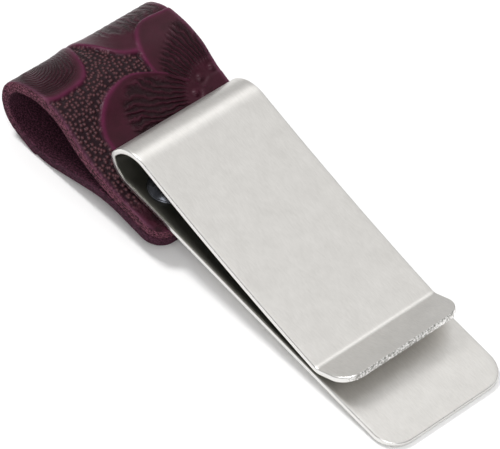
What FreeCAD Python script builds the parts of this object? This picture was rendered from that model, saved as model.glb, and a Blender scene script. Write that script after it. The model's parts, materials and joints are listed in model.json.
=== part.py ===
import FreeCAD, Part
import math
import os
import Sketcher

# Money clip: one strip of spring steel folded into a plate and a spring leaf, with a
# leather pen loop riveted under the plate. Millimetres.
#
# Every sub-part is drawn in the plate's own axes: X runs along the plate from the back of
# the bend (X = 0) to the free end, Y across it, and Z up from the plate's underside.
# At the end all of them are laid down together on a table, on the loop and the free end.

os.makedirs("parts", exist_ok=True)
doc = FreeCAD.newDocument("money_clip")

# ---------------------------------------------------------------- driving dimensions

SIZES = [
    ("strip_width", 25.0, "steel strip, across"),
    ("strip_thickness", 1.0, "steel strip, gauge"),
    ("plate_length", 66.0, "back of the bend to the plate's free end"),
    ("plate_corner", 4.25, "corner radius of the plate's free end"),
    ("foot_radius", 4.6, "bend, where it leaves the plate (centre line)"),
    ("foot_turn", 64.5, "bend, degrees turned by the foot"),
    ("back_radius", 1.1, "bend, its tightest part at the back"),
    ("back_turn_low", 25.5, "degrees from the foot to the upright middle of the back"),
    ("back_turn_high", 26.6, "degrees from the upright middle to the crown"),
    ("back_flat", 0.5, "short flat between back and crown"),
    ("crown_radius", 5.6, "bend, over the top"),
    ("crown_turn", 74.1, "degrees turned by the crown"),
    ("leaf_radius", 430.0, "spring leaf, its slight sag"),
    ("leaf_turn", 5.5, "degrees turned by the sag"),
    ("crease_radius", 2.5, "crease between leaf and lip"),
    ("crease_turn", 34.7, "degrees turned by the crease"),
    ("lip_length", 6.2, "flared lip, along its slope"),
    ("lip_corner", 3.6, "corner radius of the lip"),
    ("leaf_gap", 0.1, "clearance where the leaf meets the plate's half of the bend"),
    ("strap_width", 29.2, "leather strap, across"),
    ("strap_thickness", 2.2, "leather strap"),
    ("strap_end", 15.0, "back of the bend to the strap's ends"),
    ("strap_corner", 3.5, "corner radius of the strap's ends"),
    ("loop_hinge", 6.0, "back of the bend to the line where the loop flexes"),
    ("loop_gap", 0.1, "clearance between the loop and its neighbours"),
    ("rise_start", 4.8, "where the loop's upper leg starts to rise"),
    ("rise_radius", 27.0, "loop, upper leg, hollow curve"),
    ("rise_turn", 27.0, "degrees"),
    ("brow_radius", 11.9, "loop, over the top"),
    ("brow_turn", 64.0, "degrees"),
    ("nose_radius", 5.0, "loop, round the far end"),
    ("nose_turn", 128.0, "degrees"),
    ("belly_radius", 15.5, "loop, along the underside"),
    ("belly_turn", 36.0, "degrees"),
    ("rivet_place", 8.8, "back of the bend to the rivets"),
    ("rivet_spread", 16.0, "from rivet to rivet, across"),
    ("rivet_hole", 2.7, "diameter of the holes in steel and leather"),
    ("stem_diameter", 2.6, "rivet stem"),
    ("cap_diameter", 6.5, "rivet cap on the plate"),
    ("cap_height", 1.5, "rivet cap"),
    ("cap_rim", 0.35, "straight rim of the cap below its dome"),
    ("stem_grip", 0.9, "how far the stem enters the cap"),
    ("base_diameter", 5.5, "rivet base under the leather"),
    ("base_height", 0.8, "rivet base"),
    ("base_rim", 0.3, "straight rim of the base"),
]


def make_sheet():
    """The driving dimensions, one named cell a row."""
    cells = doc.addObject("Spreadsheet::Sheet", "dims")
    for row, (alias, value, note) in enumerate(SIZES, start=1):
        cells.set("A%d" % row, note)
        cells.set("B%d" % row, str(value))
        cells.setAlias("B%d" % row, alias)
    doc.recompute()
    return cells


sheet = make_sheet()


def size(alias):
    """The present value of one driving dimension."""
    return float(getattr(sheet, alias))


# ---------------------------------------------------------------- helpers

XY, XZ, YZ = "XY_Plane", "XZ_Plane", "YZ_Plane"
ROOT_POINT = (-1, 1)
LEFT, RIGHT = 1, -1
TOUCH = 0.1           # two places closer than this are the same one
THICKEST = 3.0        # no strip or strap layer is thicker than this
DRILL_LENGTH = 20.0   # well past both faces of anything drilled
SMALLEST_CUT = 1.0    # mm3 that a pair of rivet holes removes at the least


def new_body(label):
    """An empty PartDesign body whose label names its file."""
    body = doc.addObject("PartDesign::Body", label)
    body.Label = label
    return body


def new_sketch(body, name, plane, offset=None):
    """A sketch on one of the body's own planes, raised off it by an expression."""
    sketch = body.newObject("Sketcher::SketchObject", name)
    origin = [f for f in body.Origin.OriginFeatures if f.Role == plane][0]
    sketch.AttachmentSupport = [(origin, "")]
    sketch.MapMode = "FlatFace"
    if offset:
        sketch.setExpression("AttachmentOffset.Base.z", offset)
    return sketch


def bind(sketch, constraint, expression):
    """Adds a size constraint that follows the sheet."""
    index = sketch.addConstraint(constraint)
    sketch.setExpression("Constraints[%d]" % index, expression)
    return index


def rectangle(sketch, low, high, x_low, x_high, y_low, y_high):
    """A four-sided outline from corner low to corner high, each side bound to the sheet."""
    v = [FreeCAD.Vector(low[0], low[1], 0), FreeCAD.Vector(high[0], low[1], 0),
         FreeCAD.Vector(high[0], high[1], 0), FreeCAD.Vector(low[0], high[1], 0)]
    for k in range(4):
        sketch.addGeometry(Part.LineSegment(v[k], v[(k + 1) % 4]), False)
    for k in range(4):
        sketch.addConstraint(Sketcher.Constraint("Coincident", k, 2, (k + 1) % 4, 1))
        direction = "Horizontal" if k % 2 == 0 else "Vertical"
        sketch.addConstraint(Sketcher.Constraint(direction, k))
    for point, kind, value, text in (
            (0, "DistanceX", low[0], x_low), (2, "DistanceX", high[0], x_high),
            (0, "DistanceY", low[1], y_low), (2, "DistanceY", high[1], y_high)):
        constraint = Sketcher.Constraint(kind, *ROOT_POINT, point, 1, value)
        bind(sketch, constraint, text)


def cross_section(body, name, plane, offset, width, thickness, middle, upright=True):
    """The rectangle that is swept along a bent strip: width across, thickness about middle."""
    sketch = new_sketch(body, name, plane, offset)
    wide, thick = size(width) / 2, size(thickness) / 2
    centre = middle[0]
    text = middle[1]
    side = ("-dims.%s / 2" % width, "dims.%s / 2" % width)
    face = ("%s - dims.%s / 2" % (text, thickness), "%s + dims.%s / 2" % (text, thickness))
    if upright:
        rectangle(sketch, (-wide, centre - thick), (wide, centre + thick), *side, *face)
    else:
        rectangle(sketch, (centre - thick, -wide), (centre + thick, wide), *face, *side)
    return sketch


class BentPath:
    """The centre line of a bent strip: lines and arcs, each tangent to the one before it."""

    def __init__(self, body, name, start, start_text, heading):
        self.sketch = new_sketch(body, name, XZ)
        self.point = FreeCAD.Vector(start[0], start[1], 0)
        self.start_text = start_text
        self.heading = math.radians(heading)
        self.last = None

    def _join(self, geometry, first, last):
        """Adds the geometry, whose travel goes from point first to point last."""
        index = self.sketch.addGeometry(geometry, False)
        if self.last is None:
            for kind, value, text in (("DistanceX", self.point.x, self.start_text[0]),
                                      ("DistanceY", self.point.y, self.start_text[1])):
                constraint = Sketcher.Constraint(kind, *ROOT_POINT, index, first, value)
                bind(self.sketch, constraint, text)
        else:
            self.sketch.addConstraint(Sketcher.Constraint("Tangent", *self.last, index, first))
        self.last = (index, last)
        return index

    def line(self, length, text=None):
        """A straight run. Without a text its length is left for the sketch to find."""
        along = FreeCAD.Vector(math.cos(self.heading), math.sin(self.heading), 0)
        end = self.point + along * length
        is_first = self.last is None
        index = self._join(Part.LineSegment(self.point, end), 1, 2)
        if is_first:
            self.sketch.addConstraint(Sketcher.Constraint("Horizontal", index))
        if text:
            bind(self.sketch, Sketcher.Constraint("Distance", index, length), text)
        self.point = end
        return index

    def arc(self, side, radius, turn, radius_text=None, turn_text=None):
        """A bend to the LEFT or the RIGHT by turn degrees."""
        sweep = math.radians(turn)
        out = FreeCAD.Vector(math.sin(self.heading), -math.cos(self.heading), 0) * side
        centre = self.point - out * radius
        begin = math.atan2(out.y, out.x)
        stop = begin + side * sweep
        low, high = (begin, stop) if side == LEFT else (stop, begin)
        circle = Part.Circle(centre, FreeCAD.Vector(0, 0, 1), radius)
        first, last = (1, 2) if side == LEFT else (2, 1)
        is_first = self.last is None
        index = self._join(Part.ArcOfCircle(circle, low, high), first, last)
        if is_first:
            level = Sketcher.Constraint("Horizontal", index, 3, index, first)
            self.sketch.addConstraint(level)
        if radius_text:
            bind(self.sketch, Sketcher.Constraint("Radius", index, radius), radius_text)
        if turn_text:
            bind(self.sketch, Sketcher.Constraint("Angle", index, sweep), turn_text + " * 1 deg")
        self.heading += side * sweep
        self.point = centre + FreeCAD.Vector(math.cos(stop), math.sin(stop), 0) * radius
        return index

    def sized_arc(self, side, name):
        """A bend whose radius and turn are the sheet's NAME_radius and NAME_turn."""
        return self.arc(side, size(name + "_radius"), size(name + "_turn"),
                        "dims.%s_radius" % name, "dims.%s_turn" % name)


def sweep_strip(body, name, section, path):
    """The strip itself: the cross section carried along the path."""
    pipe = body.newObject("PartDesign::AdditivePipe", name)
    pipe.Profile = section
    pipe.Spine = path.sketch
    body.Tip = pipe
    doc.recompute()
    return pipe


def round_corners(body, name, radius, x_end):
    """Rounds the two corners of a strip's free end: its edges through the thickness at x_end."""
    tip = body.Tip
    found = []
    for number, edge in enumerate(tip.Shape.Edges, start=1):
        ends = [v.Point for v in edge.Vertexes]
        if len(ends) != 2 or edge.Curve.TypeId != "Part::GeomLine":
            continue
        across = abs(ends[0].y - ends[1].y)
        middle = (ends[0] + ends[1]) / 2
        if across < TOUCH and edge.Length < THICKEST and middle.x > x_end - TOUCH:
            found.append("Edge%d" % number)
    if len(found) != 2:
        raise RuntimeError("%s: expected 2 corner edges, found %d" % (name, len(found)))
    fillet = body.newObject("PartDesign::Fillet", name)
    fillet.Base = (tip, found)
    fillet.Radius = size(radius)
    fillet.setExpression("Radius", "dims." + radius)
    body.Tip = fillet
    doc.recompute()
    return fillet


def drill_for_rivets(body, name):
    """Two through holes for the rivet stems."""
    before = body.Tip.Shape.Volume
    sketch = new_sketch(body, name + "_sketch", XY)
    for side in (-1, 1):
        place = FreeCAD.Vector(size("rivet_place"), side * size("rivet_spread") / 2, 0)
        circle = Part.Circle(place, FreeCAD.Vector(0, 0, 1), size("rivet_hole") / 2)
        index = sketch.addGeometry(circle, False)
        sides = "dims.rivet_spread / 2" if side > 0 else "-dims.rivet_spread / 2"
        bind(sketch, Sketcher.Constraint("DistanceX", *ROOT_POINT, index, 3, place.x),
             "dims.rivet_place")
        bind(sketch, Sketcher.Constraint("DistanceY", *ROOT_POINT, index, 3, place.y), sides)
        bind(sketch, Sketcher.Constraint("Diameter", index, size("rivet_hole")),
             "dims.rivet_hole")
    pocket = body.newObject("PartDesign::Pocket", name)
    pocket.Profile = sketch
    pocket.SideType = "Symmetric"
    pocket.Type = 0
    pocket.Length = DRILL_LENGTH
    body.Tip = pocket
    doc.recompute()
    if before - pocket.Shape.Volume < SMALLEST_CUT:
        raise RuntimeError("%s cut nothing" % name)
    return pocket


# ---------------------------------------------------------------- steel strip, plate half

def bend_foot_start():
    """Where the bend leaves the plate, so that its back stands at X = 0."""
    half = size("strip_thickness") / 2
    turn = math.radians(size("foot_turn"))
    foot = (size("foot_radius") + half) * math.sin(turn)
    return foot + (size("back_radius") + half) * (1 - math.sin(turn))


HALF = "dims.strip_thickness / 2"
FOOT_SINE = "sin(dims.foot_turn * 1 deg)"
FOOT_START = ("((dims.foot_radius + %s) * %s + (dims.back_radius + %s) * (1 - %s))"
              % (HALF, FOOT_SINE, HALF, FOOT_SINE))


def make_lower_leaf():
    """The flat plate, with the lower half of the bend up to its upright back."""
    body = new_body("lower_leaf")
    half = size("strip_thickness") / 2
    path = BentPath(body, "lower_path", (size("plate_length"), half),
                    ("dims.plate_length", HALF), 180)
    path.line(size("plate_length") - bend_foot_start(), "dims.plate_length - " + FOOT_START)
    path.sized_arc(RIGHT, "foot")
    path.arc(RIGHT, size("back_radius"), size("back_turn_low"),
             "dims.back_radius", "dims.back_turn_low")
    section = cross_section(body, "lower_section", YZ, "dims.plate_length",
                            "strip_width", "strip_thickness", (half, HALF))
    sweep_strip(body, "lower_strip", section, path)
    round_corners(body, "plate_corners", "plate_corner", size("plate_length"))
    drill_for_rivets(body, "plate_holes")
    return body


# ---------------------------------------------------------------- steel strip, spring half

def back_height():
    """Height of the upright middle of the bend's back."""
    half = size("strip_thickness") / 2
    low = math.radians(size("foot_turn"))
    rise = size("foot_radius") * (1 - math.cos(low)) + size("back_radius") * math.cos(low)
    return half + rise


BACK_HEIGHT = ("(%s + dims.foot_radius * (1 - cos(dims.foot_turn * 1 deg))"
               " + dims.back_radius * cos(dims.foot_turn * 1 deg))" % HALF)


def make_upper_leaf():
    """The upper half of the bend, the sagging spring leaf, the crease and the flared lip."""
    body = new_body("upper_leaf")
    half = size("strip_thickness") / 2
    start = (half, back_height() + size("leaf_gap"))
    height = BACK_HEIGHT + " + dims.leaf_gap"
    path = BentPath(body, "upper_path", start, (HALF, height), 90)
    path.arc(RIGHT, size("back_radius"), size("back_turn_high"),
             "dims.back_radius", "dims.back_turn_high")
    path.line(size("back_flat"), "dims.back_flat")
    path.sized_arc(RIGHT, "crown")
    path.sized_arc(LEFT, "leaf")
    path.sized_arc(LEFT, "crease")
    path.line(size("lip_length"), "dims.lip_length")
    section = cross_section(body, "upper_section", XY, height,
                            "strip_width", "strip_thickness", (half, HALF), upright=False)
    sweep_strip(body, "upper_strip", section, path)
    round_corners(body, "lip_corners", "lip_corner", path.point.x)
    return body


# ---------------------------------------------------------------- leather strap

def make_pen_loop():
    """The strap's teardrop loop, open across, from the flex line round and back to it."""
    body = new_body("pen_loop")
    leather = size("strap_thickness")
    gap = size("loop_gap")
    top = -gap - leather / 2
    path = BentPath(body, "loop_path", (size("loop_hinge"), top),
                    ("dims.loop_hinge", "-dims.loop_gap - dims.strap_thickness / 2"), 180)
    path.line(size("loop_hinge") - size("rise_start"), "dims.loop_hinge - dims.rise_start")
    path.sized_arc(RIGHT, "rise")
    path.sized_arc(LEFT, "brow")
    path.sized_arc(LEFT, "nose")
    path.sized_arc(LEFT, "belly")
    # The lower leg comes back under the upper one. Its straight run and its last bend take
    # the length and the radius that bring it level, one gap below the upper leg.
    slope = math.radians(size("brow_turn") + size("nose_turn") + size("belly_turn")
                         - size("rise_turn") - 180)
    across = size("loop_hinge") - path.point.x
    climb = top - leather - gap - path.point.y
    radius = (across * math.sin(slope) - climb * math.cos(slope)) / (1 - math.cos(slope))
    run = (across - radius * math.sin(slope)) / math.cos(slope)
    path.line(run)
    last = path.arc(RIGHT, radius, math.degrees(slope))
    sketch = path.sketch
    sketch.addConstraint(Sketcher.Constraint("Vertical", last, 3, last, 1))
    bind(sketch, Sketcher.Constraint("DistanceX", *ROOT_POINT, last, 1, path.point.x),
         "dims.loop_hinge")
    bind(sketch, Sketcher.Constraint("DistanceY", *ROOT_POINT, last, 1, path.point.y),
         "-1.5 * dims.strap_thickness - 2 * dims.loop_gap")
    section = cross_section(body, "loop_section", YZ, "dims.loop_hinge", "strap_width",
                            "strap_thickness",
                            (top, "(-dims.loop_gap - dims.strap_thickness / 2)"))
    sweep_strip(body, "loop_strip", section, path)
    return body, path


def make_strap_end(label, layer):
    """One of the strap's two riveted ends: layer 0 lies against the plate, 1 below it."""
    body = new_body(label)
    sketch = new_sketch(body, label + "_outline", XY,
                        "-%d * dims.strap_thickness" % (layer + 1))
    wide = size("strap_width") / 2
    rectangle(sketch, (size("loop_hinge") + size("loop_gap"), -wide), (size("strap_end"), wide),
              "dims.loop_hinge + dims.loop_gap", "dims.strap_end",
              "-dims.strap_width / 2", "dims.strap_width / 2")
    pad = body.newObject("PartDesign::Pad", label + "_leather")
    pad.Profile = sketch
    pad.setExpression("Length", "dims.strap_thickness")
    body.Tip = pad
    doc.recompute()
    round_corners(body, label + "_corners", "strap_corner", size("strap_end"))
    drill_for_rivets(body, label + "_holes")
    return body


# ---------------------------------------------------------------- rivets

def dome_radius(width, height):
    """Radius of the sphere through a dome of this width and height."""
    return (width * width / 4 + height * height) / (2 * height)


def turned_sketch(body, name, points, dome, domed_up):
    """Half a turned section in XZ: straight sides through the points, closed by a dome arc.

    Each point is (x, z, x_text, z_text). The dome joins the last point to the first, which
    lies on the axis, above the section where it is domed up and below it otherwise."""
    sketch = new_sketch(body, name, XZ)
    count = len(points)
    flat = [FreeCAD.Vector(p[0], p[1], 0) for p in points]
    for k in range(count - 1):
        sketch.addGeometry(Part.LineSegment(flat[k], flat[k + 1]), False)
    sketch.addGeometry(Part.ArcOfCircle(*dome), False)
    for k in range(count - 2):
        sketch.addConstraint(Sketcher.Constraint("Coincident", k, 2, k + 1, 1))
    arc = count - 1
    arc_ends = (1, 2) if domed_up else (2, 1)
    sketch.addConstraint(Sketcher.Constraint("Coincident", arc - 1, 2, arc, arc_ends[0]))
    sketch.addConstraint(Sketcher.Constraint("Coincident", 0, 1, arc, arc_ends[1]))
    for k, (x, z, x_text, z_text) in enumerate(points):
        geometry, end = (k, 1) if k < count - 1 else (arc - 1, 2)
        bind(sketch, Sketcher.Constraint("DistanceX", *ROOT_POINT, geometry, end, x), x_text)
        bind(sketch, Sketcher.Constraint("DistanceY", *ROOT_POINT, geometry, end, z), z_text)
    centre = Sketcher.Constraint("DistanceX", *ROOT_POINT, arc, 3, 0)
    sketch.addConstraint(centre)
    return sketch


def turn_about_z(body, name, sketch):
    """A full revolution of the sketch about the body's Z axis."""
    turned = body.newObject("PartDesign::Revolution", name)
    turned.Profile = sketch
    turned.ReferenceAxis = (sketch, ["V_Axis"])
    turned.Angle = 360
    body.Tip = turned
    doc.recompute()
    return turned


def make_rivet_cap(label):
    """The domed cap inside the clip: a turned shell whose blind bore takes the stem."""
    body = new_body(label)
    wide = size("cap_diameter") / 2
    bore = size("stem_diameter") / 2
    floor = size("strip_thickness")
    rim = floor + size("cap_rim")
    peak = floor + size("cap_height")
    grip = floor + size("stem_grip")
    radius = dome_radius(2 * wide, peak - rim)
    circle = Part.Circle(FreeCAD.Vector(0, peak - radius, 0), FreeCAD.Vector(0, 0, 1), radius)
    dome = (circle, math.atan2(rim - peak + radius, wide), math.pi / 2)
    points = [
        (0, peak, "0", "dims.strip_thickness + dims.cap_height"),
        (0, grip, "0", "dims.strip_thickness + dims.stem_grip"),
        (bore, grip, "dims.stem_diameter / 2", "dims.strip_thickness + dims.stem_grip"),
        (bore, floor, "dims.stem_diameter / 2", "dims.strip_thickness"),
        (wide, floor, "dims.cap_diameter / 2", "dims.strip_thickness"),
        (wide, rim, "dims.cap_diameter / 2", "dims.strip_thickness + dims.cap_rim"),
    ]
    sketch = turned_sketch(body, label + "_section", points, dome, True)
    turn_about_z(body, label + "_turned", sketch)
    return body


def make_rivet_post(label):
    """The post: a shallow domed base under the leather and a stem up into the cap."""
    body = new_body(label)
    wide = size("base_diameter") / 2
    stem = size("stem_diameter") / 2
    seat = -2 * size("strap_thickness")
    rim = seat - size("base_rim")
    low = seat - size("base_height")
    top = size("strip_thickness") + size("stem_grip")
    radius = dome_radius(2 * wide, rim - low)
    circle = Part.Circle(FreeCAD.Vector(0, low + radius, 0), FreeCAD.Vector(0, 0, 1), radius)
    dome = (circle, -math.pi / 2, math.atan2(rim - low - radius, wide))
    points = [
        (0, low, "0", "-2 * dims.strap_thickness - dims.base_height"),
        (0, top, "0", "dims.strip_thickness + dims.stem_grip"),
        (stem, top, "dims.stem_diameter / 2", "dims.strip_thickness + dims.stem_grip"),
        (stem, seat, "dims.stem_diameter / 2", "-2 * dims.strap_thickness"),
        (wide, seat, "dims.base_diameter / 2", "-2 * dims.strap_thickness"),
        (wide, rim, "dims.base_diameter / 2", "-2 * dims.strap_thickness - dims.base_rim"),
    ]
    sketch = turned_sketch(body, label + "_section", points, dome, False)
    turn_about_z(body, label + "_turned", sketch)
    return body


# ---------------------------------------------------------------- assembly

lower_leaf = make_lower_leaf()
upper_leaf = make_upper_leaf()
pen_loop, loop_path = make_pen_loop()
strap_end_upper = make_strap_end("strap_end_upper", 0)
strap_end_lower = make_strap_end("strap_end_lower", 1)
rivets = []
for side, word in ((-1, "near"), (1, "far")):
    rivets.append((make_rivet_cap("rivet_cap_" + word), side))
    rivets.append((make_rivet_post("rivet_post_" + word), side))

BELLY = 4    # place of the belly's arc in the loop's path


def table_slope():
    """Slope, in degrees, of a table that touches the loop's belly and the plate's free end."""
    belly = loop_path.sketch.Geometry[BELLY]
    outside = belly.Radius + size("strap_thickness") / 2
    across = size("plate_length") - belly.Center.x
    reach = math.hypot(across, belly.Center.y)
    return math.degrees(math.asin(outside / reach) - math.atan2(belly.Center.y, across))


def lay_on_table():
    """Turns every sub-part so that the table is level, with the origin on it, mid object."""
    turned = FreeCAD.Rotation(FreeCAD.Vector(0, 1, 0), table_slope())
    local = [(body, FreeCAD.Vector(0, 0, 0))
             for body in (lower_leaf, upper_leaf, pen_loop, strap_end_upper, strap_end_lower)]
    for body, side in rivets:
        spread = side * size("rivet_spread") / 2
        local.append((body, FreeCAD.Vector(size("rivet_place"), spread, 0)))
    for body, place in local:
        body.Placement = FreeCAD.Placement(turned.multVec(place), turned)
    doc.recompute()
    whole = Part.makeCompound([body.Shape for body, _ in local]).optimalBoundingBox(False)
    shift = FreeCAD.Vector(-whole.Center.x, -whole.Center.y, -whole.ZMin)
    for body, place in local:
        body.Placement = FreeCAD.Placement(turned.multVec(place) + shift, turned)
    doc.recompute()
    return [body for body, _ in local]


bodies = lay_on_table()


# ---------------------------------------------------------------- checks and files

def check_document():
    """Stops if any object of the document is in error or any sub-part is not a solid."""
    for item in doc.Objects:
        if "Invalid" in item.State or "Error" in item.State:
            raise RuntimeError("%s failed: %s" % (item.Name, item.State))
    for body in bodies:
        shape = body.Shape
        if shape.isNull() or not shape.isValid() or len(shape.Solids) != 1:
            raise RuntimeError("%s is not one valid solid" % body.Label)


check_document()
for body in bodies:
    body.Shape.exportStep("parts/%s.step" % body.Label)
    print("%-16s volume %9.1f mm3" % (body.Label, body.Shape.Volume))
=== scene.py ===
import bpy
import json
import math
import numpy as np
from mathutils import Matrix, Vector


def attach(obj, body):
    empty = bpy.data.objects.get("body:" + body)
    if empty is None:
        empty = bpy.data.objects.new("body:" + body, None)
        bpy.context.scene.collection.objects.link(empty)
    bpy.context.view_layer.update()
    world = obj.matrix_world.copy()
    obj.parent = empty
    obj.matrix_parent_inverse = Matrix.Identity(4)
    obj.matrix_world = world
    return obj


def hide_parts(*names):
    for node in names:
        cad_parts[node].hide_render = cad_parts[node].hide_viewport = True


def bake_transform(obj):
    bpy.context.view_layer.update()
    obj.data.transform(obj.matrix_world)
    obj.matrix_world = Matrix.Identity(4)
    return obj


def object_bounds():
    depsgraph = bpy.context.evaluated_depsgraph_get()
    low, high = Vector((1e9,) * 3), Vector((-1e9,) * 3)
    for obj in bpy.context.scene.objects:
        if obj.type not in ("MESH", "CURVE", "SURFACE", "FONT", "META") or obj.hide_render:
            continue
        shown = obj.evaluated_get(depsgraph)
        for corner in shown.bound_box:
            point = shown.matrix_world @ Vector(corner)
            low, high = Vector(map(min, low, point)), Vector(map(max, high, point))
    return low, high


# A folded steel money clip with a tooled leather pen loop riveted under it.
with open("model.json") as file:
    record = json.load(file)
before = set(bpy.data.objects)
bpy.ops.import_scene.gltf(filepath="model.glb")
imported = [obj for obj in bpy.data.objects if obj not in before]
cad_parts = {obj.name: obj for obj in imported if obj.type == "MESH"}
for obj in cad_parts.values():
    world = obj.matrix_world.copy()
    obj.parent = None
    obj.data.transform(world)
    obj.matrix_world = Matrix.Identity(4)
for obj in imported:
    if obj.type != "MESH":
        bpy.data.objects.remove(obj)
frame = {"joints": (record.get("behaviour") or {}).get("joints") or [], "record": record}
cad_low, cad_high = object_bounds()


# ---------------------------------------------------------------- steel plate
# The lower half of one strip of spring steel, 25 mm wide and 1 mm thick. It was blanked
# with round corners, brushed, tumbled until its edges were soft, and folded over a mandrel.

STRIP_WIDE = 25.0
GAUGE = 1.0
PLATE_LONG = 66.0
PLATE_CORNER = 4.25
STEEL_EDGE = 0.2
STEEL_COLUMNS = 41
FOOT_START = 4.76         # the bend begins this far in front of its own back
PLATE_JOIN = 5.3          # the plate's piece ends here and the leaf's piece takes over
CLOSE_ROW = 0.01          # how close the last two rows stand at that join
BACK_HEIGHT = 3.593       # the upright middle of the bend's back, above the plate's underside

# The whole strip, as runs of (length, degrees turned to the left), from the plate's free end.
STRIP_RUNS = [
    (PLATE_LONG - FOOT_START, 0.0),
    (5.178, -64.5),       # foot of the bend
    (0.490, -25.5),       # its back, lower part
    (0.100, 0.0),
    (0.511, -26.6),       # its back, upper part
    (0.500, 0.0),
    (7.242, -74.1),       # crown
    (41.277, 5.5),        # sagging leaf
    (1.514, 34.7),        # crease
    (6.200, 0.0),         # flared lip
]
SHEARED_END = sum(length for length, _ in STRIP_RUNS)
FOLD_SHADE_FIRST = 13.0         # painted shade inside the fold: a dark sheet along the strip
FOLD_SHADE_LAST = SHEARED_END - 9.0


def folded_line(start, heading, runs):
    """The middle line of a folded strip: distance along it, x, z and heading.

    The heading turns evenly over each run. The place is the running sum of short steps,
    each of them along the heading half way through the step.
    """
    ends = np.cumsum([0.0] + [length for length, _ in runs])
    turned = np.radians(heading + np.cumsum([0.0] + [turn for _, turn in runs]))
    along = np.linspace(0.0, ends[-1], int(ends[-1] / 0.01))
    angle = np.interp(along, ends, turned)
    step = np.diff(along)
    middle = (angle[1:] + angle[:-1]) / 2
    x = start[0] + np.append(0.0, np.cumsum(step * np.cos(middle)))
    z = start[1] + np.append(0.0, np.cumsum(step * np.sin(middle)))
    return along, x, z, angle


def lay_down(x, y, z):
    """Plate axes in millimetres to the table's frame in metres.

    The plate's own X runs along the clip's mouth, as the record gives it, and the hinge of
    the spring leaf is the upright middle of the bend's back, at x = 0.
    """
    record = frame["record"]
    mouth = [m for m in record["mounts"] if m["name"] == "clip_mouth"][0]
    spring = [j for j in frame["joints"] if j["name"] == "leaf_spring"][0]
    along = np.array(mouth["axis"])
    up = np.array([-along[2], 0.0, along[0]])
    flat = np.stack([x, y, z - BACK_HEIGHT], axis=-1) * 0.001
    side = np.array([0.0, 1.0, 0.0])
    return flat @ np.stack([along, side, up]) + np.array(spring["pos_m"])


def strip_outline(line, first, last, half, corner_first, corner_last, pace, fan):
    """Rows across a flat strip: distance u, half width h, and the edge's outward normal.

    Between its corners the rows stand evenly in length plus turning, so that bends get
    more of them. Round a corner of radius R, at the angle a from the side, u moves by
    R sin a, the half width is half - R + R cos a, and the normal is (sin a, cos a). A flat
    end has a second row close behind it, which keeps the shading even up to the join.
    """
    along, _, _, angle = line
    effort = along / pace + np.append(0.0, np.cumsum(np.abs(np.diff(angle)))) / fan
    low, high = np.interp([first + corner_first, last - corner_last], along, effort)
    straight = np.interp(np.linspace(low, high, int(high - low) + 2), effort, along)
    if not corner_first:
        straight = np.insert(straight, 1, first + CLOSE_ROW)
    if not corner_last:
        straight = np.insert(straight, -1, last - CLOSE_ROW)
    swing = np.linspace(0.0, np.pi / 2, 13)
    rows = [straight]
    wide = [np.full(len(straight), half)]
    lean = [np.zeros(len(straight))]
    if corner_first:
        back = swing[:0:-1]
        rows.insert(0, first + corner_first * (1 - np.sin(back)))
        wide.insert(0, half - corner_first * (1 - np.cos(back)))
        lean.insert(0, -back)
    if corner_last:
        rows.append(last - corner_last * (1 - np.sin(swing[1:])))
        wide.append(half - corner_last * (1 - np.cos(swing[1:])))
        lean.append(swing[1:])
    u, h, a = np.concatenate(rows), np.concatenate(wide), np.concatenate(lean)
    return u, h, np.sin(a), np.cos(a)


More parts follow.
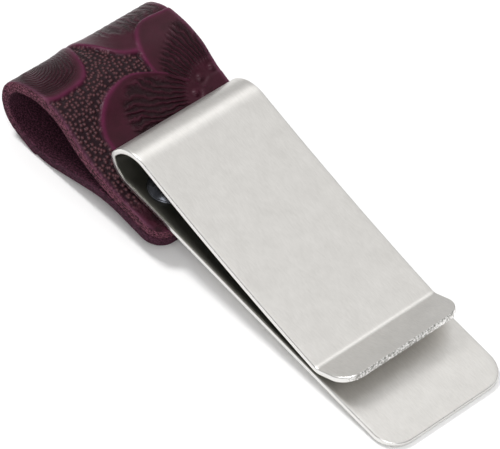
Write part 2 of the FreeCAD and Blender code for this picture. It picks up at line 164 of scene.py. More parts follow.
def strip_piece(name, line, outline, columns, thick, rounding, outside, relief=None):
    """A closed strip with rounded edges, worked out flat and then bent along its line.

    Every level of the edge is the outline drawn in by r (1 - sin t), at the height
    thick / 2 - r (1 - cos t), from the upper face (t = 0) round to the lower one. The bend
    carries (u, y, n) to line(u) + n * normal(u). The flat place is kept as an attribute.
    """
    u, h, lean_u, lean_y = outline
    rows = len(u)
    across = np.linspace(-1.0, 1.0, columns)
    t = np.linspace(0.0, np.pi / 2, 5)
    inset = np.concatenate([rounding * (1 - np.sin(t)), rounding * (1 - np.sin(t[::-1]))])
    height = np.concatenate([thick / 2 - rounding * (1 - np.cos(t)),
                             rounding * (1 - np.cos(t[::-1])) - thick / 2])
    levels = len(inset)

    # The two faces, as grids of rows and columns.
    face_u = np.repeat((u - rounding * lean_u)[:, None], columns, axis=1)
    face_y = (h - rounding * lean_y)[:, None] * across
    number = np.arange(rows * columns).reshape(rows, columns)

    # The rim: up one side, across the last row, down the other side, across the first row.
    i = np.concatenate([np.arange(rows), np.full(columns - 2, rows - 1),
                        np.arange(rows)[::-1], np.zeros(columns - 2, int)])
    j = np.concatenate([np.full(rows, columns - 1), np.arange(columns - 2, 0, -1),
                        np.zeros(rows, int), np.arange(1, columns - 1)])
    side = across[j]
    rim_u = u[i] - inset[:, None] * lean_u[i]
    rim_y = (h[i] - inset[:, None] * lean_y[i]) * side
    rim_n = np.repeat(height[:, None], len(i), axis=1)
    inner = slice(1, levels - 1)
    ring = rows * columns * 2 + np.arange((levels - 2) * len(i)).reshape(levels - 2, len(i))
    ring = np.vstack([number[i, j], ring, number[i, j] + rows * columns])

    flat_u = np.concatenate([face_u.ravel(), face_u.ravel(), rim_u[inner].ravel()])
    flat_y = np.concatenate([face_y.ravel(), face_y.ravel(), rim_y[inner].ravel()])
    flat_n = np.concatenate([np.full(rows * columns, thick / 2),
                             np.full(rows * columns, -thick / 2), rim_n[inner].ravel()])
    upper = np.clip((flat_n / thick + 0.5) * 2 - 1, 0.0, 1.0)
    lift = relief(flat_u, flat_y) * upper if relief else 0.0

    along, line_x, line_z, angle = line
    heading = np.interp(flat_u, along, angle)
    reach = (flat_n + lift) * outside
    x = np.interp(flat_u, along, line_x) - reach * np.sin(heading)
    z = np.interp(flat_u, along, line_z) + reach * np.cos(heading)
    points = lay_down(x, flat_y, z)

    def quads(grid):
        return np.stack([grid[:-1, :-1], grid[1:, :-1], grid[1:, 1:], grid[:-1, 1:]], -1)

    around = np.hstack([ring, ring[:, :1]])
    faces = np.concatenate([quads(number).reshape(-1, 4)[:, ::-1],
                            quads(number + rows * columns).reshape(-1, 4),
                            quads(around).reshape(-1, 4)])
    a, b, c, d = (points[faces[:, k]] for k in range(4))
    six_volumes = (np.cross(b - a, c - a) * (a + b + c) + np.cross(c - a, d - a) * (a + c + d))
    if six_volumes.sum() < 0:
        faces = faces[:, ::-1]

    mesh = bpy.data.meshes.new(name)
    mesh.from_pydata(points.tolist(), [], faces.tolist())
    mesh.polygons.foreach_set("use_smooth", np.ones(len(faces), bool))
    place = mesh.attributes.new("flat_place", "FLOAT_VECTOR", "POINT")
    place.data.foreach_set("vector", np.stack([flat_u, flat_y, flat_n], -1).ravel())
    edge = mesh.attributes.new("cut_edge", "FLOAT", "POINT")
    edge.data.foreach_set("value", (np.arange(len(points)) >= rows * columns * 2) * 1.0)
    piece = bpy.data.objects.new(name, mesh)
    bpy.context.scene.collection.objects.link(piece)
    return piece


def add_node(tree, kind, settings=None, **inputs):
    """One shader node. An input is a value, or a socket to join to it."""
    node = tree.nodes.new(kind)
    for key, value in (settings or {}).items():
        setattr(node, key, value)
    for key, value in inputs.items():
        socket = node.inputs[int(key[1:])] if key[0] == "i" and key[1:].isdigit() \
            else node.inputs[key]
        if isinstance(value, bpy.types.NodeSocket):
            tree.links.new(value, socket)
        else:
            socket.default_value = value
    return node


def satin_steel():
    """Stainless strip: fine brushed grain, cloudy polish, and edges rubbed bright.

    The inner face is painted dark inside the fold, as painted shade, and the lip's sheared
    end is rough.
    """
    material = bpy.data.materials.new("satin_steel")
    material.use_nodes = True
    tree = material.node_tree
    steel = tree.nodes["Principled BSDF"]
    steel.inputs["Metallic"].default_value = 1.0
    place = add_node(tree, "ShaderNodeAttribute", {"attribute_name": "flat_place"})
    edge = add_node(tree, "ShaderNodeAttribute", {"attribute_name": "cut_edge"})

    # Brushed grain, short strokes along the strip, and the cloudiness of the polish.
    drawn = add_node(tree, "ShaderNodeMapping", Vector=place.outputs["Vector"],
                     Scale=(0.9, 6.5, 6.5))
    grain = add_node(tree, "ShaderNodeTexNoise", Vector=drawn.outputs[0],
                     Scale=1.0, Detail=4.0, Roughness=0.65)
    cloud = add_node(tree, "ShaderNodeTexNoise", Vector=place.outputs["Vector"],
                     Scale=0.32, Detail=3.0, Roughness=0.6)
    speck = add_node(tree, "ShaderNodeTexNoise", Vector=place.outputs["Vector"],
                     Scale=2.6, Detail=2.0, Roughness=0.5)
    both = add_node(tree, "ShaderNodeMath", {"operation": "MULTIPLY_ADD"},
                    i0=cloud.outputs["Fac"], i1=0.6, i2=grain.outputs["Fac"])
    tone = add_node(tree, "ShaderNodeValToRGB", i0=both.outputs[0])
    tone.color_ramp.elements[0].position = 0.55
    tone.color_ramp.elements[0].color = (0.655, 0.640, 0.615, 1)
    tone.color_ramp.elements[1].position = 1.05
    tone.color_ramp.elements[1].color = (0.745, 0.730, 0.705, 1)
    rubbed = add_node(tree, "ShaderNodeMix", {"data_type": "RGBA"},
                      i0=edge.outputs["Fac"], i6=tone.outputs[0], i7=(0.76, 0.75, 0.73, 1))

    # Painted shade inside the fold: the inner face is darkened, from a little behind the
    # plate's open end to just short of the crease.
    apart = add_node(tree, "ShaderNodeSeparateXYZ", Vector=place.outputs["Vector"])
    fold_shade = add_node(tree, "ShaderNodeMapRange", i0=apart.outputs["Z"], i1=-0.25, i2=-0.45)
    begins = add_node(tree, "ShaderNodeMapRange", i0=apart.outputs["X"],
                      i1=FOLD_SHADE_FIRST, i2=FOLD_SHADE_FIRST + 5.0)
    stops = add_node(tree, "ShaderNodeMapRange", i0=apart.outputs["X"],
                     i1=FOLD_SHADE_LAST, i2=FOLD_SHADE_LAST - 5.0)
    fold_shade = add_node(tree, "ShaderNodeMath", {"operation": "MULTIPLY"},
                    i0=fold_shade.outputs[0], i1=begins.outputs[0])
    fold_shade = add_node(tree, "ShaderNodeMath", {"operation": "MULTIPLY"},
                    i0=fold_shade.outputs[0], i1=stops.outputs[0])
    fold_shaded_colour = add_node(tree, "ShaderNodeMix", {"data_type": "RGBA"}, i0=fold_shade.outputs[0],
                      i6=rubbed.outputs[2], i7=(0.200, 0.195, 0.170, 1))

    # The sheared end of the lip, flecked bright: the cut edge beyond the lip's corners.
    end = add_node(tree, "ShaderNodeMapRange", i0=apart.outputs["X"],
                   i1=SHEARED_END - 1.2, i2=SHEARED_END - 0.5)
    sheared = add_node(tree, "ShaderNodeMath", {"operation": "MULTIPLY"},
                       i0=end.outputs[0], i1=edge.outputs["Fac"])
    rough = add_node(tree, "ShaderNodeMapRange", i0=speck.outputs["Fac"],
                     i3=0.36, i4=0.46)
    gloss = add_node(tree, "ShaderNodeMath", {"operation": "MULTIPLY_ADD"},
                     i0=edge.outputs["Fac"], i1=-0.12, i2=rough.outputs[0])
    tree.links.new(gloss.outputs[0], steel.inputs["Roughness"])
    torn = add_node(tree, "ShaderNodeTexNoise", Vector=place.outputs["Vector"],
                    Scale=2.4, Detail=3.0, Roughness=0.7)
    flecks = add_node(tree, "ShaderNodeValToRGB", i0=torn.outputs["Fac"])
    flecks.color_ramp.elements[0].position = 0.44
    flecks.color_ramp.elements[0].color = (0.42, 0.41, 0.39, 1)
    flecks.color_ramp.elements[1].position = 0.56
    flecks.color_ramp.elements[1].color = (1.0, 0.99, 0.97, 1)
    flecked = add_node(tree, "ShaderNodeMix", {"data_type": "RGBA"}, i0=sheared.outputs[0],
                       i6=fold_shaded_colour.outputs[2], i7=flecks.outputs[0])
    tree.links.new(flecked.outputs[2], steel.inputs["Base Color"])
    torn = add_node(tree, "ShaderNodeMath", {"operation": "MULTIPLY"},
                    i0=torn.outputs["Fac"], i1=sheared.outputs[0])
    marks = add_node(tree, "ShaderNodeMath", {"operation": "MULTIPLY_ADD"},
                     i0=torn.outputs[0], i1=22.0, i2=grain.outputs["Fac"])
    scored = add_node(tree, "ShaderNodeBump", Height=marks.outputs[0],
                      Strength=0.16, Distance=0.00006)
    tree.links.new(scored.outputs[0], steel.inputs["Normal"])
    return material


strip_line = folded_line((PLATE_LONG, GAUGE / 2), 180.0, STRIP_RUNS)
plate_rows = strip_outline(strip_line, 0.0, PLATE_LONG - PLATE_JOIN, STRIP_WIDE / 2,
                           PLATE_CORNER, 0.0, pace=0.8, fan=0.06)
steel_plate = strip_piece("steel_plate", strip_line, plate_rows, STEEL_COLUMNS, GAUGE,
                          STEEL_EDGE, 1)
steel = satin_steel()
steel_plate.data.materials.append(steel)
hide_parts("lower_leaf")
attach(steel_plate, "plate")


# ---------------------------------------------------------------- spring leaf
# The upper half of the same strip: up round the bend, along the sagging leaf to the crease,
# and out along the flared lip, built at rest. On the real clip, opening it unrolls the bend.

LIP_CORNER = 3.6
leaf_rows = strip_outline(strip_line, PLATE_LONG - PLATE_JOIN, SHEARED_END, STRIP_WIDE / 2,
                          0.0, LIP_CORNER, pace=0.5, fan=0.05)
steel_leaf = strip_piece("steel_leaf", strip_line, leaf_rows, STEEL_COLUMNS, GAUGE,
                         STEEL_EDGE, 1)
steel_leaf.data.materials.append(steel)
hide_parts("upper_leaf")
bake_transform(steel_leaf)


# ---------------------------------------------------------------- leather strap
# One strap of dyed leather, 29 mm wide and 2.2 mm thick, tooled with a blossom and leaves
# on its grain side, waxed, its edges left raw. It is folded into a loop, flesh side in.

STRAP_WIDE = 29.2
STRAP_THICK = 2.2
STRAP_EDGE = 0.24
STRAP_COLUMNS = 109
STRAP_END = 15.0
STRAP_CORNER = 3.5
BURNISHED = 0.5           # how far in the rubbed corners fade
LOOP_STRAIGHT = 1.2 + STRAP_END - 6.0     # the upper leg's flat part, under the plate
STRAP_RUNS = [
    (LOOP_STRAIGHT, 0.0),
    (12.723, -27.0),      # rises out from under the bend
    (13.292, 64.0),       # brow
    (11.170, 128.0),      # round the far end
    (9.739, 36.0),        # belly
    (8.065, 0.0),
    (7.627, -21.0),       # back to lie under the upper leg
    (STRAP_END - 6.25, 0.0),    # flat, against the upper leg
]
strap_line = folded_line((STRAP_END, -STRAP_THICK / 2 - 0.02), 180.0, STRAP_RUNS)


def over_the_grain(u):
    """Distance along the grain side: each step grows by the turn times half the thickness."""
    along, _, _, angle = strap_line
    return np.interp(u, along, along + (angle - angle[0]) * STRAP_THICK / 2)


GRAIN_LONG = float(over_the_grain(strap_line[0][-1]))
BLOSSOM = (14.5, 13.0)            # heart of the blossom: along the grain side, across
HEART_HALF, HEART_HIGH = 5.0, 0.18
SEED_RING = 5.7                   # the seeds stand in a ring round the heart
SEED_FIRST, SEED_STEP = 53.0, 29.0    # degrees round it
SEED_HALF, SEED_HIGH = 0.55, 0.30
GROUND_DEEP = 0.27                # the matted ground is stamped down
BEVEL_DEEP = 0.16                 # and further down along every petal and leaf
RIM_HIGH = 0.10
HOLLOW_DEEP = 0.17
STROKE_DEEP = 0.07
TOOLED_TOP = 0.12                 # no rim or seed stands higher


def ease(value, low, high):
    """0 below low and 1 above high, with a smooth step between them."""
    t = np.clip((value - low) / (high - low), 0.0, 1.0)
    return t * t * (3 - 2 * t)


def petal_depth(turn, reach, towards, spread, length):
    """How far inside a petal each place is, in mm: its edge's reach less the distance.

    Seen from the blossom's heart the edge is at length * (1 - |w|^2.2)^0.55, where w runs
    from -1 to 1 over the petal's spread.
    """
    w = np.clip(np.abs((turn - towards) / spread), 0.0, 1.0)
    return length * (1 - w ** 2.2) ** 0.55 - reach


def leaf_depth(a, y, middle, half):
    """How far inside a leaf: the spare share of a superellipse of power 2.5 along each ray."""
    x, z = a - middle[0], y - middle[1]
    q = (np.abs(x / half[0]) ** 2.5 + np.abs(z / half[1]) ** 2.5) ** 0.4 + 1e-6
    return np.hypot(x, z) * (1 - q) / q


def tooled(u, y):
    """The tooling at each place of the strap: height, ground, rim, stroke phase and depth.

    Leaves and petals are laid over the matted ground one after another. Each has a raised
    rim just inside its edge, a hollow further in, and a bevel pressed down just outside.
    The second half of the strap repeats the first one backwards. Near both ends the depth
    is full: real strokes, and in the colour a painted shadow of the plate.
    """
    middle = GRAIN_LONG / 2
    a = middle - np.abs(over_the_grain(u) - middle)
    turn = np.degrees(np.arctan2(BLOSSOM[1] - y, a - BLOSSOM[0]))
    reach = np.hypot(a - BLOSSOM[0], y - BLOSSOM[1])
    wave = 0.5 * np.sin(0.55 * a + 0.3 * y) + 0.4 * np.sin(0.9 * y - 0.2 * a)

    height = np.full(a.shape, -GROUND_DEEP)
    ground = np.ones(a.shape)
    rim = np.zeros(a.shape)
    phase = np.zeros(a.shape)
    depth = np.zeros(a.shape)
    rays = turn / 4.6 + 0.35 * wave
    layers = [
        (leaf_depth(a, y, (middle, 7.6), (middle - 27.3, 9.8)), y / 1.35 + 0.4 * wave,
         ease(a, 30.5, 35.0) * 0.8),
        (leaf_depth(a, y, (middle, -11.0), (middle - 28.0, 8.4)), None, 0.75),
        (petal_depth(turn, reach, 128.0, 38.0, 19.0), rays, 1.0),
        (petal_depth(turn, reach, 8.0, 48.0, 19.5), rays, 1.0),
        (petal_depth(turn, reach, 79.0, 44.0, 23.4), rays, 1.0),
    ]
    for inside, strokes, strength in layers:
        inside = inside + 0.45 * wave
        on = ease(inside, -0.15, 0.30)
        height = height - BEVEL_DEEP * np.exp(np.minimum(inside, 0.0) / 0.6) * (1 - on)
        form = (RIM_HIGH * np.exp(-((inside - 0.75) / 0.6) ** 2)
                - HOLLOW_DEEP * ease(inside, 0.9, 4.0))
        height = height * (1 - on) + (form + 0.02) * on
        ground = ground * (1 - on)
        rim = rim * (1 - on) + np.exp(-((inside - 0.55) / 0.45) ** 2) * on
        if strokes is None:
            strokes = inside / 0.62
            strength = strength * ease(inside, 1.2, 2.4)
        else:
            own = 1.5 * np.sin(12.99 * np.round(strokes))
            strength = strength * ease(inside, 3.4 + own, 5.0 + own)
        phase = np.where(on > 0.5, strokes, phase)
        depth = depth * (1 - on) + strength * on

    swung = (turn - SEED_FIRST + SEED_STEP / 2) % SEED_STEP - SEED_STEP / 2
    away = np.hypot(reach - SEED_RING, reach * np.radians(swung))
    seed = np.sqrt(np.clip(1 - (away / SEED_HALF) ** 2, 0.0, 1.0))
    heart = ease(reach, HEART_HALF, HEART_HALF - 0.6)
    clear = ease(reach, 8.5, 6.5)
    depth = depth * ease(reach, 6.6, 8.5)
    height = height - 0.12 * clear + SEED_HIGH * seed + HEART_HIGH * heart
    height = height - 0.14 * np.exp(-((away - 0.85) / 0.25) ** 2)
    # Near both ends, under the plate's edge, the matted ground gives way and the strokes go
    # full depth: real strokes, and in the colour a painted shadow of the plate.
    ground = ground * ease(a, 5.0, 9.0)
    depth = np.maximum(depth, 1 - ease(a, 5.0, 9.0))
    return height, ground, rim, phase, depth


def tooled_height(u, y):
    """The height of the tooling, with the strokes cut in, below the strap's own surface.

    The tops of the rims and seeds, at TOOLED_TOP in the tooling's own heights, are the
    surface: min(height, top) - top - STROKE_DEEP * depth * (1 - cos(2 pi phase)) / 2.
    """
    height, _, _, phase, depth = tooled(u, y)
    strokes = 0.5 - 0.5 * np.cos(2 * np.pi * phase)
    return np.minimum(height, TOOLED_TOP) - TOOLED_TOP - STROKE_DEEP * depth * strokes


strap_rows = strip_outline(strap_line, 0.0, float(strap_line[0][-1]), STRAP_WIDE / 2,
                           STRAP_CORNER, STRAP_CORNER, pace=0.27, fan=0.2)
leather_strap = strip_piece("leather_strap", strap_line, strap_rows, STRAP_COLUMNS,
                            STRAP_THICK, STRAP_EDGE, -1, relief=tooled_height)


def mark_tooling(strap):
    """Writes the tooling, the burnished corners and the sides on the strap's mesh.

    A corner's share falls as exp(-(d / BURNISHED)^2) with the distance d in from the edge.
    """
    mesh = strap.data
    flat = np.empty(len(mesh.vertices) * 3, np.float32)
    mesh.attributes["flat_place"].data.foreach_get("vector", flat)
    u, y, n = flat.reshape(-1, 3).T.astype(float)
    _, ground, rim, phase, depth = tooled(u, y)
    face = ease(n, STRAP_THICK * 0.40, STRAP_THICK * 0.49)
    ends = np.minimum(u, strap_line[0][-1] - u)
    inset = np.maximum(np.minimum(STRAP_WIDE / 2 - np.abs(y), ends), 0.0)
    marks = {"matted_ground": ground * face, "petal_rim": rim * face,
             "stroke_phase": phase, "stroke_depth_and_plate_shadow": depth * face, "grain_side": face,
             "burnished": np.exp(-(inset / BURNISHED) ** 2) * face,
             "flesh_side": ease(-n, STRAP_THICK * 0.40, STRAP_THICK * 0.49)}
    for name, values in marks.items():
        layer = mesh.attributes.new(name, "FLOAT", "POINT")
        layer.data.foreach_set("value", values.astype(np.float32))
    grain = np.stack([over_the_grain(u), y, n], -1)
    mesh.attributes["flat_place"].data.foreach_set("vector", grain.ravel())


mark_tooling(leather_strap)


def plum_leather():
    """Tooled leather: waxed plum grain side, redder rims, matted ground, fibrous edges."""
    material = bpy.data.materials.new("plum_leather")
    material.use_nodes = True
    tree = material.node_tree
    hide = tree.nodes["Principled BSDF"]

    def mark(name):
        return add_node(tree, "ShaderNodeAttribute", {"attribute_name": name}).outputs

    def blend_colour(share, low, high):
        return add_node(tree, "ShaderNodeMix", {"data_type": "RGBA"},
                        i0=share, i6=low, i7=high).outputs[2]

    def reckon(operation, first, second, third=0.0):
        return add_node(tree, "ShaderNodeMath", {"operation": operation},
                        i0=first, i1=second, i2=third).outputs[0]

    place = mark("flat_place")["Vector"]
    mottle = add_node(tree, "ShaderNodeTexNoise", Vector=place, Scale=0.35, Detail=4.0)
    pores = add_node(tree, "ShaderNodeTexNoise", Vector=place, Scale=3.2, Detail=4.0,
                     Roughness=0.6)
    strands = add_node(tree, "ShaderNodeMapping", Vector=place, Scale=(2.6, 3.6, 5.5))
    fibre = add_node(tree, "ShaderNodeTexNoise", Vector=strands.outputs[0], Scale=1.0,
                     Detail=5.0, Roughness=0.75)
    beads = add_node(tree, "ShaderNodeTexVoronoi", {"voronoi_dimensions": "2D"},
                     Vector=place, Scale=1.3, Randomness=0.75)
    bead = add_node(tree, "ShaderNodeMapRange", {"interpolation_type": "SMOOTHSTEP"},
                    Value=beads.outputs["Distance"])
    bead.inputs["From Min"].default_value = 0.06
    bead.inputs["From Max"].default_value = 0.54
    bead.inputs["To Min"].default_value = 1.0
    bead.inputs["To Max"].default_value = 0.0

    cycle = reckon("MULTIPLY_ADD", mark("stroke_phase")["Fac"], 2 * math.pi,
                   reckon("MULTIPLY_ADD", pores.outputs["Fac"], 3.0,
                          reckon("MULTIPLY", mottle.outputs["Fac"], 14.0)))
    strokes = reckon("MULTIPLY", reckon("COSINE", cycle, 0.0), -0.5)
    cut = reckon("MULTIPLY", strokes, mark("stroke_depth_and_plate_shadow")["Fac"])

    # Colour: dark plum, nearly black in the strokes, redder on the rims, mauve at the
    # burnished corners, and a painted shadow of the plate near the strap's ends. The cut edges
    # and the flesh side are paler and fibrous, and the lower leg's edges are painted darker:
    # painted shade under the upper leg.
    plum = blend_colour(mottle.outputs["Fac"], (0.015, 0.0030, 0.0042, 1),
                        (0.052, 0.0070, 0.0190, 1))
    # Darker in the strokes, and near the strap's ends a painted shadow of the plate.
    dark_strokes_and_plate_shadow = reckon("MULTIPLY_ADD", mark("stroke_depth_and_plate_shadow")["Fac"], 0.42,
                    reckon("MULTIPLY", cut, -0.8))
    plum = blend_colour(dark_strokes_and_plate_shadow, plum, (0.0060, 0.0022, 0.0026, 1))
    # Bead tops are painted lighter, as painted highlight, and the gaps between them darker, as
    # painted shade.
    matted = blend_colour(bead.outputs[0], (0.0080, 0.0018, 0.0036, 1),
                          (0.098, 0.040, 0.046, 1))
    grain = blend_colour(mark("matted_ground")["Fac"], plum, matted)
    reddened = reckon("MULTIPLY", mark("petal_rim")["Fac"], mottle.outputs["Fac"])
    grain = blend_colour(reddened, grain, (0.110, 0.008, 0.048, 1))
    grain = blend_colour(reckon("MULTIPLY", mark("burnished")["Fac"], 0.8), grain,
                         (0.130, 0.040, 0.075, 1))
    hairs = add_node(tree, "ShaderNodeMapRange", i0=fibre.outputs["Fac"], i1=0.45, i2=0.61)
    raw = blend_colour(hairs.outputs[0], (0.012, 0.0025, 0.0050, 1),
                       (0.270, 0.086, 0.132, 1))
    shaded_lower_edge = blend_colour(hairs.outputs[0], (0.018, 0.004, 0.009, 1),
                        (0.115, 0.034, 0.066, 1))
    along = add_node(tree, "ShaderNodeSeparateXYZ", Vector=place)
    # The lower leg's cut edges are painted darker than the upper leg's: painted shade under
    # the upper leg.
    lower = add_node(tree, "ShaderNodeMapRange", i0=along.outputs["X"],
                     i1=GRAIN_LONG / 2 - 6.0, i2=GRAIN_LONG / 2 + 14.0)
    raw = blend_colour(lower.outputs[0], raw, shaded_lower_edge)
    flesh = blend_colour(hairs.outputs[0], (0.016, 0.0045, 0.0085, 1),
                         (0.110, 0.033, 0.060, 1))
    colour = blend_colour(mark("flesh_side")["Fac"], raw, flesh)
    colour = blend_colour(mark("grain_side")["Fac"], colour, grain)
    tree.links.new(colour, hide.inputs["Base Color"])

    shine = reckon("MULTIPLY_ADD", mark("grain_side")["Fac"], -0.58, 0.90)
    shine = reckon("MULTIPLY_ADD", pores.outputs["Fac"], 0.12, shine)
    tree.links.new(shine, hide.inputs["Roughness"])
    hide.inputs["Specular IOR Level"].default_value = 0.20
    hide.inputs["Specular Tint"].default_value = (1.0, 0.78, 0.86, 1)

    # Relief: strokes of the petals, beads of the matted ground, pores, and raw fibres.
    stamped = reckon("MULTIPLY", bead.outputs[0], mark("matted_ground")["Fac"])
    worked = reckon("MULTIPLY_ADD", stamped, 1.0, reckon("MULTIPLY", cut, 1.3))
    finish = reckon("MULTIPLY_ADD", pores.outputs["Fac"], 0.16, worked)
    raw_side = reckon("SUBTRACT", 1.0, mark("grain_side")["Fac"])
    rough = reckon("MULTIPLY", fibre.outputs["Fac"], raw_side)
    finish = reckon("MULTIPLY_ADD", rough, 1.3, finish)
    relief = add_node(tree, "ShaderNodeBump", Height=finish, Strength=1.0, Distance=0.00024)
    tree.links.new(relief.outputs[0], hide.inputs["Normal"])
    return material


leather_strap.data.materials.append(plum_leather())
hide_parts("pen_loop", "strap_end_upper", "strap_end_lower")
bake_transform(leather_strap)


# ---------------------------------------------------------------- rivets
# Two-piece rivets of black-nickelled brass: a post pushed up through leather and steel from
# below, and a domed cap set on its end inside the clip, where the notes slide over it.

RIVET_PLACE = 8.8
RIVET_SPREAD = 16.0
CAP_HALF = 3.25
CAP_HIGH = 1.5
CAP_SHOULDER = 0.42       # the dome starts here, on a rim rolled to the radius CAP_ROLL
CAP_ROLL = 0.24
BASE_HALF = 2.75
BASE_HIGH = 0.8
BASE_SHOULDER = 0.25
STEM_HALF = 1.3
STEM_TOP = 0.9


def turned_piece(name, radius, height, centre, columns=64):
    """A profile turned about the plate's normal: (r cos v, r sin v, z) for every v."""
    turn = np.linspace(0.0, 2 * np.pi, columns, endpoint=False)
    x = centre[0] + radius[:, None] * np.cos(turn)
    y = centre[1] + radius[:, None] * np.sin(turn)
    z = np.repeat(height[:, None], columns, axis=1)
    rings = lay_down(x, y, z).reshape(-1, 3)
    poles = lay_down(np.full(2, centre[0]), np.full(2, centre[1]), height[[0, -1]])
    points = np.concatenate([rings, poles])
    number = np.arange(len(rings)).reshape(len(radius), columns)
    after = np.roll(number, -1, axis=1)
    walls = np.stack([number[:-1], number[1:], after[1:], after[:-1]], -1).reshape(-1, 4)
    top = np.stack([after[0], np.full(columns, len(rings)), number[0]], -1)
    low = np.stack([number[-1], np.full(columns, len(rings) + 1), after[-1]], -1)
    mesh = bpy.data.meshes.new(name)
    mesh.from_pydata(points.tolist(), [], walls.tolist() + top.tolist() + low.tolist())
    mesh.polygons.foreach_set("use_smooth", np.ones(len(mesh.polygons), bool))
    piece = bpy.data.objects.new(name, mesh)
    bpy.context.scene.collection.objects.link(piece)
    return piece


def cap_profile():
    """A flattened dome with a rolled rim: r from 0 to the rim, z falling as 1 - (r/R)^2.6."""
    r = np.linspace(0.02, CAP_HALF - 0.12, 24)
    dome = CAP_SHOULDER + (CAP_HIGH - CAP_SHOULDER) * (1 - (r / CAP_HALF) ** 2.6)
    t = np.linspace(0.2, np.pi, 9)
    rolled_r = CAP_HALF - CAP_ROLL + CAP_ROLL * np.sin(t)
    rolled_z = CAP_ROLL + CAP_ROLL * np.cos(t)
    radius = np.concatenate([r, rolled_r, [0.02]])
    return radius, GAUGE + np.concatenate([dome, rolled_z, [0.0]])


def post_profile():
    """A stem, and under the leather a shallow dome with the setting punch's dimple."""
    r = np.linspace(BASE_HALF, 0.02, 26)
    dome = -BASE_SHOULDER - (BASE_HIGH - BASE_SHOULDER) * (1 - (r / BASE_HALF) ** 2.4)
    dimple = 0.22 * ease(1.1 - r, 0.0, 0.5)
    radius = np.concatenate([[0.02, STEM_HALF, STEM_HALF, BASE_HALF - 0.05], r])
    top, under = GAUGE + STEM_TOP, -2 * STRAP_THICK
    height = np.concatenate([[top, top, under, under], dome + dimple + under])
    return radius, height


def black_nickel():
    """Glossy black nickel plate, with the swirls and small scratches of handling."""
    material = bpy.data.materials.new("black_nickel")
    material.use_nodes = True
    tree = material.node_tree
    plating = tree.nodes["Principled BSDF"]
    plating.inputs["Metallic"].default_value = 0.85
    place = add_node(tree, "ShaderNodeTexCoord")
    haze = add_node(tree, "ShaderNodeTexNoise", Vector=place.outputs["Object"],
                    Scale=900.0, Detail=4.0, Roughness=0.6)
    worn = add_node(tree, "ShaderNodeValToRGB", i0=haze.outputs["Fac"])
    worn.color_ramp.elements[0].position = 0.35
    worn.color_ramp.elements[0].color = (0.060, 0.064, 0.076, 1)
    worn.color_ramp.elements[1].position = 0.75
    worn.color_ramp.elements[1].color = (0.130, 0.137, 0.158, 1)
    tree.links.new(worn.outputs[0], plating.inputs["Base Color"])
    gloss = add_node(tree, "ShaderNodeMapRange", Value=haze.outputs["Fac"])
    gloss.inputs["To Min"].default_value = 0.14
    gloss.inputs["To Max"].default_value = 0.30
    tree.links.new(gloss.outputs[0], plating.inputs["Roughness"])
    marks = add_node(tree, "ShaderNodeBump", Height=haze.outputs["Fac"],
                     Strength=0.12, Distance=0.00004)
    tree.links.new(marks.outputs[0], plating.inputs["Normal"])
    return material


nickel = black_nickel()
for word, way in (("near", -1), ("far", 1)):
    centre = (RIVET_PLACE, way * RIVET_SPREAD / 2)
    for part, profile in (("cap", cap_profile()), ("post", post_profile())):
        rivet = turned_piece("rivet_%s_%s_turned" % (part, word), *profile, centre)
        rivet.data.materials.append(nickel)
        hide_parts("rivet_%s_%s" % (part, word))
        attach(rivet, "plate")


# ---------------------------------------------------------------- table, lights and camera
# A pale table in a pale room, with a big soft box above, two smaller ones behind, a key from
# the loop's side and a fill in front. The camera looks down from the plate's free end.

TABLE_WIDE = 3.0
corner = TABLE_WIDE / 2
table_mesh = bpy.data.meshes.new("table_top")
table_mesh.from_pydata([(-corner, -corner, 0), (corner, -corner, 0), (corner, corner, 0),
                        (-corner, corner, 0)], [], [(0, 1, 2, 3)])
table_top = bpy.data.objects.new("table_top", table_mesh)
bpy.context.scene.collection.objects.link(table_top)
table_paint = bpy.data.materials.new("table_paint")
table_paint.use_nodes = True
table_paint.node_tree.nodes["Principled BSDF"].inputs["Base Color"].default_value = \
    (0.96, 0.96, 0.96, 1)
table_paint.node_tree.nodes["Principled BSDF"].inputs["Roughness"].default_value = 0.9
table_mesh.materials.append(table_paint)

room = bpy.data.worlds.new("pale_room")
room.use_nodes = True
room.node_tree.nodes["Background"].inputs["Color"].default_value = (1.0, 0.995, 0.985, 1)
room.node_tree.nodes["Background"].inputs["Strength"].default_value = 0.292
bpy.context.scene.world = room


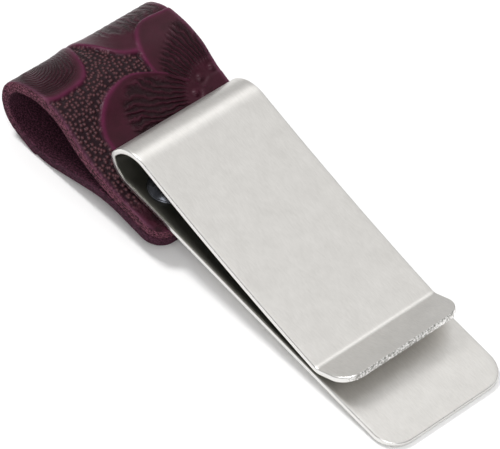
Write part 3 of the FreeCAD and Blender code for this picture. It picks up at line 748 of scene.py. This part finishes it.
def stood_at(x, y, z, place):
    """The matrix of a thing whose own axes are x, y and z, stood at a place."""
    turned = np.eye(4)
    turned[:3] = np.stack([x, y, z, place], axis=-1)
    return Matrix(turned)


def soft_box(name, towards, away, wide, power):
    """A square lamp that stands in the given direction from the clip and faces it."""
    out = np.array(towards) / np.linalg.norm(towards)
    lamp = bpy.data.lights.new(name, "AREA")
    lamp.size = wide
    lamp.energy = power
    holder = bpy.data.objects.new(name, lamp)
    bpy.context.scene.collection.objects.link(holder)
    x = np.cross((0.0, 1.0, 0.01), out)
    x = x / np.linalg.norm(x)
    y = np.cross(out, x)
    holder.matrix_world = stood_at(x, y, out, out * away)


soft_box("soft_box_above", (0.02, 0.45, 0.89), 1.0, 1.30, 3.1)
soft_box("soft_box_behind", (-0.46, 0.50, 0.74), 0.9, 0.30, 0.32)
soft_box("soft_box_low", (-0.86, 0.48, 0.20), 1.0, 0.55, 0.22)
soft_box("key_from_the_loop", (-0.52, -0.10, 0.85), 0.9, 0.20, 4.5)
soft_box("fill_in_front", (0.50, -0.50, 0.70), 1.0, 0.60, 4.8)

AZIMUTH, ELEVATION, ROLL = (math.radians(v) for v in (42.634, 47.543, 6.891))
AWAY = 0.6851
AIM_SHIFT = np.array([0.00126, -0.00280, 0.0])    # from the middle of the clip's box
camera = bpy.data.cameras.new("camera")
camera.lens = 319.5
camera.clip_start, camera.clip_end = 0.01, 10.0
viewer = bpy.data.objects.new("camera", camera)
bpy.context.scene.collection.objects.link(viewer)
back = np.array([math.sin(AZIMUTH) * math.cos(ELEVATION),
                 -math.cos(AZIMUTH) * math.cos(ELEVATION), math.sin(ELEVATION)])
level = np.array([math.cos(AZIMUTH), math.sin(AZIMUTH), 0.0])
upright = np.cross(back, level)
right = level * math.cos(ROLL) + upright * math.sin(ROLL)
above = np.cross(back, right)
aim = np.array((cad_low + cad_high) / 2) + AIM_SHIFT
viewer.matrix_world = stood_at(right, above, back, aim + back * AWAY)
bpy.context.scene.camera = viewer
bpy.context.scene.view_settings.view_transform = "Standard"
